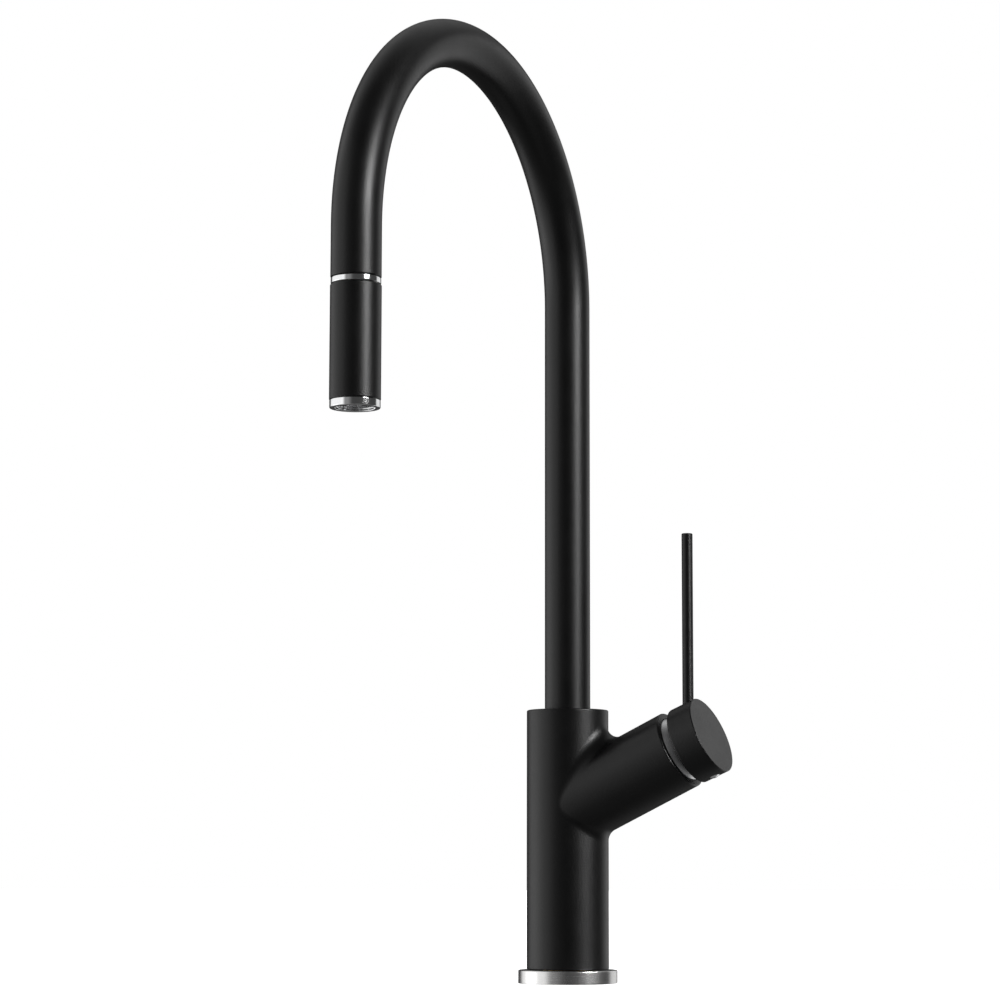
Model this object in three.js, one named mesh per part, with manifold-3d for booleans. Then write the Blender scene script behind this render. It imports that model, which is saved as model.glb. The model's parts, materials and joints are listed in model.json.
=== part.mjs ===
// Pull-down kitchen mixer tap with a side branch handle, as an assembly of its separate pieces.
// Millimetres, +Z up. The origin is on the body's axis, on the underside of the base ring, which is the
// top of the worktop. The spout reaches towards -Y and the handle branch towards +X.

import * as THREE from "three";
import { mergeVertices } from "three/addons/utils/BufferGeometryUtils.js";
import Module from "manifold-3d";

const wasm = await Module();
wasm.setup();

const degrees = Math.PI / 180;

// Fits
const gap = 0.3; // between pieces that touch, turn or slide in each other
const overshoot = 1; // how far a cutting tool runs past the face that it opens

// Sides of round pieces
const fine = 28; // what is seen
const plain = 20; // what is inside
const small = 12; // what is under about 10 mm across

// Gooseneck tube
const tubeRadius = 12.5;
const tubeWall = 1.3;
const archRadius = 118.8; // of the tube's centre line
const archHeight = 371.7; // of the arch's centre above the worktop
const mouthDrop = 25.6; // straight tube below the end of the arch
const tubeSeat = 22; // depth of the tube in the body

// Body and base ring
const bodyRadius = 22.4;
const bodyTop = 148;
const ringRadius = 27;
const ringHeight = 7.2;
const ringBevel = 0.6;

// Handle branch
const branchTilt = 25.3 * degrees; // above the horizontal
const branchHeight = 93.7; // where its axis crosses the body's axis
const branchRadius = 21.7;
const branchLength = 74.4; // along its axis, from the body's axis
const branchWall = 3.3;
const branchEdge = 0.8;

// Handle: knob, stem and lever
const knobRadius = 21.35;
const knobLength = 15.1;
const knobGap = 4.6; // from the branch's end to the knob's back, with the two in line
const knobEdge = 0.9;
const restTilt = 2.1 * degrees; // of the knob from the branch's axis, at rest
const pivotDepth = 8.2; // of the stem's pivot below the branch's end
const stemWidth = 7;
const stemEngagement = 10.2; // length of the stem in the knob
const leverRadius = 3;
const leverReach = 91.8; // from the knob's side to the lever's tip
const leverSetback = 5.6; // of the lever behind the knob's face, on the knob's side
const leverDepth = 6.5; // of the lever in the knob
const knobHollow = 3.2; // depth of the hollow in the knob's back that clears the dome
const leverChamfer = 0.6;
const grubRadius = 2.3;
const plugRadius = 3;
const plugHeight = 2;
const grubSetback = 7.2; // of the grub screw behind the knob's face

// Cartridge, along the branch's axis
const housingRadius = 17.1;
const housingWall = 2.5;
const collarRadius = 13.6;
const collarHeight = 11.5;
const cartridgeBaseHeight = 5.4;
const discThickness = 4;
const fixedDiscRadius = 12.9;
const movingDiscRadius = 11;
const carrierHeight = 4.5;
const carrierRadius = 11.3;
const rotorRadius = 11.5;
const rotorHeight = 16;
const pinRadius = 1.2;
const ballRadius = 2.3;
const nutHeight = 6.6;
const capTop = 13; // of the trim cap's dome above the stem's pivot
const capMouth = 8; // radius of the hole for the stem
const capWall = 1.1;
const domeClearance = 0.7; // of the knob's hollow round the dome
const outletPortOffset = 7; // of the outlet port from the cartridge's axis

// Waterways and tails
const portCircle = 10.7; // radius that the three tails stand on
const portAngle = 60 * degrees; // of the hot and cold tails from the outlet tail
const waterwayRadius = 2.4;
const tailRadius = 3.9;
const tailWall = 1.1;
const tailSeat = 9;
const inletTailEnd = -122;
const outletTailEnd = -106;
const sealHeight = 1.3;

// Shank and clamping below the worktop
const shankRadius = 16.5;
const shankWall = 1.7;
const shankSeat = 12; // depth of the shank in the body
const shankEnd = -76;
const worktop = 30; // thickness that the clamp is drawn up on
const washerRadius = 25;
const rubberWasherHeight = 2.5;
const steelWasherHeight = 2.5;
const nutAcrossFlats = 44;
const shankNutHeight = 8;

// Spout swivel
const bushWall = 1.5; // of the upper swivel bush
const footLength = 18; // of the spout foot below the tube
const footSpigot = 8; // of the spout foot inside the tube
const footWall = 4; // round the hose
const thrustHeight = 1.4;
const upperBushLength = 11;
const ringGroove = 3;
const ringGrooveDepth = 1.5;
const frictionRingSlack = 0.5; // round the friction ring in its groove
const stopScrewRadius = 2.2;
const stopSlotDepth = 1.9;
const swivelHalfRange = 75 * degrees;

// Hose
const hoseRadius = 5;
const hoseBore = 5.9;
const hoseFittingRadius = 6.6;
const hoseFittingLength = 24;

// Spray head
const headOversize = 0.1; // of the shell's radius beyond the tube's
const headWall = 1.5;
const headLength = 56.7; // of the shell
const dockRingInset = 0.2; // of the dock ring inside the tube's radius
const dockRingHeight = 2.9;
const dockBushWall = 1.4;
const neckLength = 12;
const dockBushLength = 18;
const neckWall = 1.7;
const nippleLength = 16;
const ferruleWall = 1.1;
const ferruleLength = 12;
const valveInset = 1.3; // of the check valve inside the hose nipple's radius
const valveWall = 1.2;
const valveLength = 13;
const aeratorInset = 0.2; // of the aerator ring inside the shell's radius
const aeratorHeight = 3.8;
const aeratorWall = 0.9;
const aeratorSpigot = 6.4;
const aeratorRecess = 2.6; // of the insert above the ring's lower edge
const insertHeight = 7;
const insertRim = 2.2; // height of the aerator insert's rim
const insertRimWidth = 2;
const screenHeight = 0.8;
const lugCount = 8;
const lugSlot = 3.8; // width of the slots between the lugs
const lugTurn = 37 * degrees; // from +X to the first slot

// Heights and places that follow from the sizes above
const bodyFoot = ringHeight + gap;
const tubeFoot = bodyTop - tubeSeat;
const footBottom = tubeFoot - gap - footLength;
const socketFloor = footBottom - thrustHeight - 2 * gap;
const mouthHeight = archHeight - mouthDrop;
const shankCeiling = bodyFoot + shankSeat;
const branchBore = branchRadius - branchWall;
const pivotPlace = branchLength - pivotDepth;
const knobBack = knobGap + pivotDepth; // from the pivot, along the knob's axis
const shankBore = shankRadius - shankWall;
const tubeBore = tubeRadius - tubeWall;
const capRadius = branchBore - gap;
const domeRadius = Math.hypot(capRadius, pivotDepth); // of the trim cap's dome, about the stem's pivot
const socketRadius = tubeRadius + gap + bushWall + gap;
const footBore = tubeRadius - footWall;
const footGroove = tubeRadius - ringGrooveDepth;
const frictionRingSection = (socketRadius - footGroove) / 2 - frictionRingSlack;
const neckRadius = tubeBore - gap - dockBushWall - gap;
const nippleRadius = neckRadius - neckWall - gap;
const ferruleRadius = hoseRadius + gap + ferruleWall;
const valveRadius = nippleRadius - valveInset;
const valveBore = valveRadius - valveWall;
const dockRingBottom = mouthHeight - gap - dockRingHeight;
const headTop = dockRingBottom - gap;
const headBottom = headTop - headLength;
const headRadius = tubeRadius + headOversize;
const headBore = headRadius - headWall;
const aeratorRadius = headRadius - aeratorInset;
const aeratorMouth = headBore - gap - aeratorWall;
const dockRingRadius = tubeRadius - dockRingInset;
const aeratorBottom = headBottom - gap - aeratorHeight;
const stopHeight = footBottom + 6;

// Cartridge levels along the branch's axis, from the pivot down to the seat
const ballDrop = 11.6; // of the ball's centre below the pivot
const rotorBottom = pivotPlace - 9.7;
const carrierTop = rotorBottom - 1.1;
const carrierBottom = carrierTop - carrierHeight;
const movingDiscBottom = carrierBottom - gap - discThickness;
const fixedDiscBottom = movingDiscBottom - gap - discThickness;
const cartridgeBaseTop = fixedDiscBottom + 1.7;
const cartridgeBaseBottom = cartridgeBaseTop - cartridgeBaseHeight;
const seatPlace = cartridgeBaseBottom - gap;
const housingBottom = cartridgeBaseTop + gap;
const housingLedge = rotorBottom;
const housingTop = pivotPlace - 6.6;
const discShift = -ballDrop * Math.sin(restTilt);

// Ports round the hose: where the three tails stand, seen from above
const ports = {
  outlet: [portCircle, 0],
  hot: [portCircle * Math.cos(portAngle), -portCircle * Math.sin(portAngle)],
  cold: [portCircle * Math.cos(portAngle), portCircle * Math.sin(portAngle)],
};

// The same three ports on the cartridge's face, in the branch's own frame
const facePorts = {
  outlet: [outletPortOffset, 0],
  hot: [0, ports.hot[1]],
  cold: [0, ports.cold[1]],
};

const finishes = {
  black: { color: 0x171717, roughness: 0.5, metalness: 0.3 },
  chrome: { color: 0xd9dbde, roughness: 0.08, metalness: 1 },
  brushed: { color: 0xc4c4c2, roughness: 0.3, metalness: 1 },
  brass: { color: 0xb5934f, roughness: 0.35, metalness: 1 },
  copper: { color: 0xb8734a, roughness: 0.35, metalness: 1 },
  steel: { color: 0xa9abad, roughness: 0.35, metalness: 1 },
  rubber: { color: 0x1c1c1c, roughness: 0.85, metalness: 0 },
  braid: { color: 0x3a3b3d, roughness: 0.7, metalness: 0 },
  plastic: { color: 0xe4e2dc, roughness: 0.5, metalness: 0 },
  blackPlastic: { color: 0x202122, roughness: 0.5, metalness: 0 },
  ceramic: { color: 0xf1f0ec, roughness: 0.15, metalness: 0 },
};

// Shapes -------------------------------------------------------------------------------------------------

// A turned piece about Z. The profile's [radius, height] points go up the outside and down the inside.
function turned(profile, sides = plain) {
  const points = profile.map(([radius, height]) => new THREE.Vector2(radius, height));
  return new THREE.LatheGeometry(points, sides).rotateX(Math.PI / 2);
}

function rod(radius, length, sides = plain) {
  return turned([[0, 0], [radius, 0], [radius, length], [0, length]], sides);
}

function sleeve(inner, outer, length, sides = plain) {
  const profile = [[outer, 0], [outer, length], [inner, length], [inner, 0], [outer, 0]];
  return turned(profile, sides);
}

// A rubber ring of round section about Z, standing on z = 0.
function roundRing(centreRadius, section, sides = plain, around = 6) {
  const profile = [];
  for (let i = 0; i <= around; i += 1) {
    const angle = (2 * Math.PI * i) / around;
    profile.push([centreRadius + section * Math.cos(angle), section * (1 + Math.sin(angle))]);
  }
  return turned(profile, sides);
}

function box(x, y, z) {
  return new THREE.BoxGeometry(x, y, z);
}

function circlePoints(radius, sides) {
  return Array.from({ length: sides }, (_, i) => {
    const angle = (2 * Math.PI * i) / sides;
    return new THREE.Vector2(radius * Math.cos(angle), radius * Math.sin(angle));
  });
}

// A round section carried along a curve, hollow when an inner radius is given. The bore's flats lie on its
// radius, so that what slides in the bore clears them.
function carried(curve, steps, outer, sides, inner, innerSides) {
  const section = new THREE.Shape(circlePoints(outer, sides));
  if (inner) {
    const corner = inner / Math.cos(Math.PI / innerSides);
    section.holes.push(new THREE.Path(circlePoints(corner, innerSides)));
  }
  return new THREE.ExtrudeGeometry(section, { steps, extrudePath: curve });
}

function toSolid(geometry) {
  const bare = geometry.index ? geometry.toNonIndexed() : geometry.clone();
  bare.deleteAttribute("normal");
  bare.deleteAttribute("uv");
  const merged = mergeVertices(bare, 1e-4);
  const vertProperties = merged.attributes.position.array;
  const triVerts = new Uint32Array(merged.index.array);
  return new wasm.Manifold(new wasm.Mesh({ numProp: 3, vertProperties, triVerts }));
}

function toGeometry(solid) {
  const mesh = solid.getMesh();
  const geometry = new THREE.BufferGeometry();
  geometry.setAttribute("position", new THREE.BufferAttribute(mesh.vertProperties, 3));
  geometry.setIndex(new THREE.BufferAttribute(mesh.triVerts, 1));
  return geometry;
}

function joined(first, ...others) {
  return toGeometry(others.reduce((sum, part) => sum.add(toSolid(part)), toSolid(first)));
}

function cut(stock, ...tools) {
  return toGeometry(tools.reduce((left, tool) => left.subtract(toSolid(tool)), toSolid(stock)));
}

// A radial bore tool: a rod that starts at the given distance from the Z axis and runs out along an angle.
function radialRod(radius, start, length, angle, height) {
  return rod(radius, length, small)
    .rotateY(Math.PI / 2)
    .translate(start, 0, 0)
    .rotateZ(angle)
    .translate(0, 0, height);
}

// A block that covers a sector of a ring about Z, from -halfAngle to +halfAngle around +Y.
function ringSector(inner, outer, height, halfAngle) {
  const from = Math.PI / 2 - halfAngle;
  const to = Math.PI / 2 + halfAngle;
  const section = new THREE.Shape();
  section.absarc(0, 0, outer, from, to, false);
  section.absarc(0, 0, inner, to, from, true);
  const options = { depth: height, bevelEnabled: false, curveSegments: 12 };
  return new THREE.ExtrudeGeometry(section, options);
}

// The gooseneck's centre line from a height on the body's axis: up, half a turn over, and down to another
// height. The curve's parameter is proportional to the distance along it.
class Gooseneck extends THREE.Curve {
  constructor(from, to) {
    super();
    this.from = from;
    this.rise = archHeight - from;
    this.turn = Math.PI * archRadius;
    this.fall = archHeight - to;
  }

  getPoint(t, target = new THREE.Vector3()) {
    const distance = t * (this.rise + this.turn + this.fall);
    if (distance <= this.rise) return target.set(0, 0, this.from + distance);
    if (distance >= this.rise + this.turn) {
      return target.set(0, -2 * archRadius, archHeight - (distance - this.rise - this.turn));
    }
    const angle = (distance - this.rise) / archRadius;
    const y = -archRadius * (1 - Math.cos(angle));
    return target.set(0, y, archHeight + archRadius * Math.sin(angle));
  }
}

// A coil spring's centre line, standing on z = 0.
class Coil extends THREE.Curve {
  constructor(radius, height, turns) {
    super();
    this.radius = radius;
    this.height = height;
    this.turns = turns;
  }

  getPoint(t, target = new THREE.Vector3()) {
    const angle = 2 * Math.PI * this.turns * t;
    return target.set(this.radius * Math.cos(angle), this.radius * Math.sin(angle), this.height * t);
  }
}

// The assembly -------------------------------------------------------------------------------------------

const tap = new THREE.Group();

// The branch's frame: z runs out along the branch's axis and x points down, in the plane of body and branch.
const branch = new THREE.Group();
branch.position.z = branchHeight;
branch.rotation.y = Math.PI / 2 - branchTilt;
tap.add(branch);

// The handle's frame: the origin is the stem's pivot and z runs out along the knob's axis.
const handle = new THREE.Group();
handle.position.z = pivotPlace;
handle.rotation.y = restTilt;
branch.add(handle);

function place(name, geometry, finish, parent, x = 0, y = 0, z = 0) {
  const mesh = new THREE.Mesh(geometry, new THREE.MeshStandardMaterial(finishes[finish]));
  mesh.name = name;
  mesh.position.set(x, y, z);
  parent.add(mesh);
  return mesh;
}

// Body and base ------------------------------------------------------------------------------------------

function inBranch(geometry) {
  return geometry.rotateY(Math.PI / 2 - branchTilt).translate(0, 0, branchHeight);
}

// The two bores that carry one waterway: up from its tail, and along the branch to the cartridge's seat.
function waterway(name) {
  const [x, y] = ports[name];
  const [faceX, faceY] = facePorts[name];
  const start = (x - faceX * Math.sin(branchTilt)) / Math.cos(branchTilt);
  const meet = branchHeight + start * Math.sin(branchTilt) - faceX * Math.cos(branchTilt);
  const riser = rod(waterwayRadius, meet - shankCeiling, small).translate(x, y, shankCeiling);
  const runLength = seatPlace - start + overshoot;
  const run = rod(waterwayRadius, runLength, small).translate(faceX, faceY, start);
  return [riser, inBranch(run)];
}

function tailSocket([x, y]) {
  return rod(tailRadius + gap, tailSeat + overshoot, small).translate(x, y, shankCeiling - overshoot);
}

function bodyCasting() {
  const column = rod(bodyRadius, bodyTop - bodyFoot, fine).translate(0, 0, bodyFoot);
  const branchProfile = [
    [0, 0],
    [branchRadius, 0],
    [branchRadius, branchLength - branchEdge],
    [branchRadius - branchEdge, branchLength],
    [0, branchLength],
  ];
  const arm = inBranch(turned(branchProfile, fine));
  const socketDepth = bodyTop - socketFloor + overshoot;
  const socket = rod(socketRadius, socketDepth).translate(0, 0, socketFloor);
  const hoseWay = rod(hoseBore, bodyTop - bodyFoot, small).translate(0, 0, bodyFoot);
  const shankHole = rod(shankRadius + gap, shankSeat + overshoot).translate(0, 0, bodyFoot - overshoot);
  const seatLength = branchLength - seatPlace + overshoot;
  const seat = inBranch(rod(branchBore, seatLength).translate(0, 0, seatPlace));
  const stopHole = radialRod(stopScrewRadius + gap, socketRadius / 2, bodyRadius, Math.PI / 2, stopHeight);
  const waterways = Object.keys(ports).flatMap(waterway);
  const sockets = Object.values(ports).map(tailSocket);
  return cut(joined(column, arm), socket, hoseWay, shankHole, seat, stopHole, ...waterways, ...sockets);
}

const gasketInner = shankRadius + 3.5;
const gasketOuter = ringRadius - 3.3;
const gasketHeight = 1.5;

function baseRing() {
  const bore = shankRadius + 2 * gap;
  return turned(
    [
      [ringRadius, 0],
      [ringRadius, ringHeight - ringBevel],
      [ringRadius - ringBevel, ringHeight],
      [bore, ringHeight],
      [bore, 0],
      [gasketInner - gap, 0],
      [gasketInner - gap, gasketHeight + gap],
      [gasketOuter + gap, gasketHeight + gap],
      [gasketOuter + gap, 0],
      [ringRadius, 0],
    ],
    fine,
  );
}

function hexNut(acrossFlats, bore, height) {
  const corner = acrossFlats / 2 / Math.cos(Math.PI / 6);
  const outline = new THREE.Shape(circlePoints(corner, 6));
  outline.holes.push(new THREE.Path(circlePoints(bore, plain)));
  return new THREE.ExtrudeGeometry(outline, { depth: height, bevelEnabled: false });
}

function addBodyAndClamp() {
  place("body_casting", bodyCasting(), "black", tap);
  place("base_ring", baseRing(), "brushed", tap);
  place("base_gasket", sleeve(gasketInner, gasketOuter, gasketHeight, fine), "rubber", tap);
  const shankLength = shankCeiling - gap - shankEnd;
  place("shank", sleeve(shankBore, shankRadius, shankLength), "brass", tap, 0, 0, shankEnd);
  const rubberZ = -worktop - rubberWasherHeight;
  const steelZ = rubberZ - gap - steelWasherHeight;
  const washerBore = shankRadius + gap;
  const rubberWasher = sleeve(washerBore, washerRadius, rubberWasherHeight);
  place("rubber_washer", rubberWasher, "rubber", tap, 0, 0, rubberZ);
  const steelWasher = sleeve(washerBore, washerRadius, steelWasherHeight);
  place("clamp_washer", steelWasher, "steel", tap, 0, 0, steelZ);
  const nut = hexNut(nutAcrossFlats, washerBore, shankNutHeight);
  place("shank_nut", nut, "brass", tap, 0, 0, steelZ - gap - shankNutHeight);
}

function addTails() {
  for (const [name, [x, y]] of Object.entries(ports)) {
    const end = name === "outlet" ? outletTailEnd : inletTailEnd;
    const top = shankCeiling + tailSeat - 2 * gap - sealHeight;
    const tail = sleeve(tailRadius - tailWall, tailRadius, top - end, small);
    place(`${name}_tail`, tail, "copper", tap, x, y, end);
    const seal = sleeve(tailRadius - tailWall, tailRadius, sealHeight, small);
    place(`${name}_tail_seal`, seal, "rubber", tap, x, y, top + gap);
  }
}

// Cartridge ----------------------------------------------------------------------------------------------

function portTools(radius, length, z) {
  return Object.values(facePorts).map(([x, y]) => rod(radius, length, small).translate(x, y, z));
}

function cartridgeBase() {
  const discSeatDepth = cartridgeBaseTop - fixedDiscBottom + gap;
  const discSeat = rod(fixedDiscRadius + gap, discSeatDepth + overshoot);
  discSeat.translate(0, 0, cartridgeBaseHeight - discSeatDepth);
  return cut(
    rod(housingRadius, cartridgeBaseHeight),
    discSeat,
    ...portTools(waterwayRadius, cartridgeBaseHeight, 0),
    ...portTools(tailRadius + gap, sealHeight + gap + overshoot, -overshoot),
  );
}

function fixedDisc() {
  const tools = portTools(waterwayRadius, discThickness + 2 * overshoot, -overshoot);
  return cut(rod(fixedDiscRadius, discThickness), ...tools);
}

function movingDisc() {
  const chamberRadius = movingDiscRadius - 2.2;
  const chamber = rod(chamberRadius, discThickness / 2 + overshoot).translate(0, 0, -overshoot);
  return cut(rod(movingDiscRadius, discThickness), chamber);
}

function discCarrier() {
  const socketDepth = carrierTop - (pivotPlace - ballDrop - ballRadius - gap - 0.1);
  const ballSocket = rod(ballRadius + gap, socketDepth + overshoot, small);
  ballSocket.translate(0, 0, carrierHeight - socketDepth);
  return cut(rod(carrierRadius, carrierHeight), ballSocket);
}

function cartridgeHousing() {
  const bore = housingRadius - housingWall;
  const height = housingTop + collarHeight - housingBottom;
  const shoulder = housingTop - housingBottom;
  const ledge = housingLedge - housingBottom;
  return turned([
    [housingRadius, 0],
    [housingRadius, shoulder],
    [collarRadius, shoulder],
    [collarRadius, height],
    [rotorRadius + gap, height],
    [rotorRadius + gap, ledge],
    [bore, ledge],
    [bore, 0],
    [housingRadius, 0],
  ]);
}

const rotorSlotX = 15;

function rotor() {
  const slot = box(rotorSlotX, stemWidth + 4 * gap, rotorHeight + 2 * overshoot);
  slot.translate(0, 0, rotorHeight / 2);
  const pinHole = rod(pinRadius + gap, 2 * rotorRadius + 2 * overshoot, small).rotateX(Math.PI / 2);
  pinHole.translate(0, rotorRadius + overshoot, pivotPlace - rotorBottom);
  return cut(rod(rotorRadius, rotorHeight), slot, pinHole);
}

function pivotPin() {
  const length = 2 * (rotorRadius - 1);
  return rod(pinRadius, length, small).rotateX(Math.PI / 2).translate(0, length / 2, 0);
}

function cartridgeNut() {
  const outer = branchBore - gap;
  const slots = [0, Math.PI / 2].map((angle) =>
    box(2 * outer + overshoot, 4, 2 * 1.6).rotateZ(angle).translate(0, 0, nutHeight),
  );
  return cut(sleeve(collarRadius + gap, outer, nutHeight), ...slots);
}

// An arc of a circle about the stem's pivot, as [radius, height] points, with heights from the given origin.
function domeArc(radius, from, to, origin) {
  const steps = 6;
  return Array.from({ length: steps + 1 }, (_, i) => {
    const height = from + ((to - from) * i) / steps;
    return [Math.sqrt(radius ** 2 - height ** 2), height - origin];
  });
}

// A tube that fits the branch's bore, closed by a zone of a ball about the pivot that the knob tilts over.
function trimCap() {
  const foot = housingTop + nutHeight + 2 * gap - pivotPlace;
  const innerRadius = domeRadius - capWall;
  const innerFrom = Math.sqrt(innerRadius ** 2 - (capRadius - capWall) ** 2);
  return turned(
    [
      [capRadius, 0],
      ...domeArc(domeRadius, pivotDepth, capTop, foot),
      [capMouth, capTop - foot],
      [capMouth, capTop - capWall - foot],
      ...domeArc(innerRadius, capTop - capWall, innerFrom, foot),
      [capRadius - capWall, 0],
      [capRadius, 0],
    ],
    fine,
  );
}

function addCartridge() {
  place("cartridge_base", cartridgeBase(), "blackPlastic", branch, 0, 0, cartridgeBaseBottom);
  for (const [name, [x, y]] of Object.entries(facePorts)) {
    const seal = sleeve(waterwayRadius + 0.2, tailRadius, sealHeight, small);
    place(`${name}_port_seal`, seal, "rubber", branch, x, y, seatPlace + 0.2);
  }
  place("fixed_disc", fixedDisc(), "ceramic", branch, 0, 0, fixedDiscBottom);
  place("moving_disc", movingDisc(), "ceramic", branch, discShift, 0, movingDiscBottom);
  place("disc_carrier", discCarrier(), "plastic", branch, discShift, 0, carrierBottom);
  place("cartridge_housing", cartridgeHousing(), "plastic", branch, 0, 0, housingBottom);
  place("rotor", rotor(), "plastic", branch, 0, 0, rotorBottom);
  place("pivot_pin", pivotPin(), "steel", branch, 0, 0, pivotPlace);
  place("cartridge_nut", cartridgeNut(), "brass", branch, 0, 0, housingTop + gap);
  place("trim_cap", trimCap(), "chrome", branch, 0, 0, housingTop + nutHeight + 2 * gap);
}

// Handle -------------------------------------------------------------------------------------------------

const leverAngle = Math.PI / 2 - (branchTilt - restTilt); // between the lever and the knob's axis
const leverFoot = knobBack + knobLength - leverSetback; // where the lever's axis meets the knob's side
const grubPlace = knobBack + knobLength - grubSetback;

// Carries a shape that stands on z = 0 to the lever's axis, z = 0 at the knob's side, +z towards its tip.
function alongLever(geometry) {
  return geometry.rotateY(-leverAngle).translate(-knobRadius, 0, leverFoot);
}

function stem() {
  const ball = new THREE.SphereGeometry(ballRadius, 12, 8).translate(0, 0, -ballDrop);
  const neck = rod(1.7, ballDrop - 5, small).translate(0, 0, -ballDrop);
  const shaftBottom = -6.2;
  const shaftLength = knobBack + stemEngagement - shaftBottom;
  const shaft = box(stemWidth, stemWidth, shaftLength).translate(0, 0, shaftBottom + shaftLength / 2);
  const pinHole = rod(pinRadius + gap, 2 * stemWidth, small).rotateX(Math.PI / 2).translate(0, stemWidth, 0);
  return cut(joined(shaft, neck, ball), pinHole);
}

function knob() {
  const profile = [
    [0, 0],
    [knobRadius - knobEdge, 0],
    [knobRadius, knobEdge],
    [knobRadius, knobLength - knobEdge / 2],
    [knobRadius - knobEdge / 2, knobLength],
    [0, knobLength],
  ];
  const socketWidth = stemWidth + 2 * gap;
  const socketDepth = stemEngagement + gap;
  const socket = box(socketWidth, socketWidth, 2 * socketDepth).translate(0, 0, knobBack);
  const hollowRadius = Math.sqrt(domeRadius ** 2 - knobBack ** 2) + domeClearance;
  const hollow = rod(hollowRadius, knobHollow + overshoot, fine).translate(0, 0, knobBack - overshoot);
  const leverHole = alongLever(
    rod(leverRadius + gap, 2 * leverDepth, small).translate(0, 0, -leverDepth - gap),
  );
  const grubHole = radialRod(grubRadius + gap, 0, knobRadius + overshoot, 0, grubPlace);
  const plugDepth = plugHeight + gap;
  const plugHole = radialRod(plugRadius + gap, knobRadius - plugDepth, knobRadius, 0, grubPlace);
  const blank = turned(profile, fine).translate(0, 0, knobBack);
  return cut(blank, hollow, socket, leverHole, grubHole, plugHole);
}

function lever() {
  const length = leverDepth + leverReach;
  const profile = [
    [0, 0],
    [leverRadius, 0],
    [leverRadius, length - leverChamfer],
    [leverRadius - leverChamfer, length],
    [0, length],
  ];
  return alongLever(turned(profile, small).translate(0, 0, -leverDepth));
}

function grubScrew() {
  const start = stemWidth / 2 + gap;
  const length = knobRadius - plugHeight - 2 * gap - start;
  const screw = radialRod(grubRadius, start, length, 0, grubPlace);
  const keyWidth = grubRadius;
  const keyHole = box(4, keyWidth, keyWidth).translate(start + length, 0, grubPlace);
  return cut(screw, keyHole);
}

function screwPlug() {
  const proud = 0.6;
  return radialRod(plugRadius, knobRadius - plugHeight, plugHeight + proud, 0, grubPlace);
}

function addHandle() {
  place("stem", stem(), "steel", handle);
  place("knob", knob(), "black", handle);
  place("lever", lever(), "black", handle);
  place("knob_grub_screw", grubScrew(), "steel", handle);
  place("screw_plug", screwPlug(), "chrome", handle);
}

// Spout and swivel ---------------------------------------------------------------------------------------

function spoutFoot() {
  const grooveBottom = footLength - 7;
  const spigotRadius = tubeBore - gap;
  const profile = [
    [tubeRadius, 0],
    [tubeRadius, grooveBottom],
    [footGroove, grooveBottom],
    [footGroove, grooveBottom + ringGroove],
    [tubeRadius, grooveBottom + ringGroove],
    [tubeRadius, footLength],
    [spigotRadius, footLength],
    [spigotRadius, footLength + footSpigot],
    [footBore, footLength + footSpigot],
    [footBore, 0],
    [tubeRadius, 0],
  ];
  const slotHeight = 2 * (stopScrewRadius + gap);
  const screwHalfAngle = Math.asin((stopScrewRadius + gap) / (tubeRadius - stopSlotDepth / 2));
  const halfAngle = swivelHalfRange + screwHalfAngle;
  const slot = ringSector(tubeRadius - stopSlotDepth, tubeRadius + overshoot, slotHeight, halfAngle);
  slot.translate(0, 0, stopHeight - footBottom - slotHeight / 2);
  return cut(turned(profile), slot);
}

function addSpout() {
  const tubeLength = archHeight - tubeFoot + Math.PI * archRadius + mouthDrop;
  const steps = Math.round(tubeLength / 15);
  const neck = new Gooseneck(tubeFoot, mouthHeight);
  place("spout_tube", carried(neck, steps, tubeRadius, plain, tubeBore, small), "black", tap);
  place("spout_foot", spoutFoot(), "brass", tap, 0, 0, footBottom);
  const ringCentre = (footGroove + socketRadius) / 2;
  const ringZ = footBottom + footLength - 7 + (ringGroove - 2 * frictionRingSection) / 2;
  const friction = roundRing(ringCentre, frictionRingSection);
  place("friction_ring", friction, "rubber", tap, 0, 0, ringZ);
  const upperBush = sleeve(tubeRadius + gap, socketRadius - gap, upperBushLength);
  place("upper_swivel_bush", upperBush, "blackPlastic", tap, 0, 0, bodyTop - upperBushLength);
  const thrust = sleeve(hoseBore + 1, socketRadius - gap, thrustHeight);
  place("thrust_washer", thrust, "plastic", tap, 0, 0, socketFloor + gap);
  const screwStart = tubeRadius - stopSlotDepth + gap;
  const screwLength = bodyRadius - 1 - screwStart;
  const stopScrew = radialRod(stopScrewRadius, screwStart, screwLength, Math.PI / 2, stopHeight);
  place("swivel_stop_screw", stopScrew, "steel", tap);
  const dockBush = sleeve(neckRadius + gap, tubeBore - gap, dockBushLength);
  place("dock_bush", dockBush, "blackPlastic", tap, 0, -2 * archRadius, mouthHeight + gap);
}

// Hose ---------------------------------------------------------------------------------------------------

const hoseSides = 8;
const hoseSplit = socketFloor - gap; // below the spout's swivel, where the hose is parted
const ferruleBottom = headTop + neckLength + gap;
const hoseEnd = ferruleBottom + 1;

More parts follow.
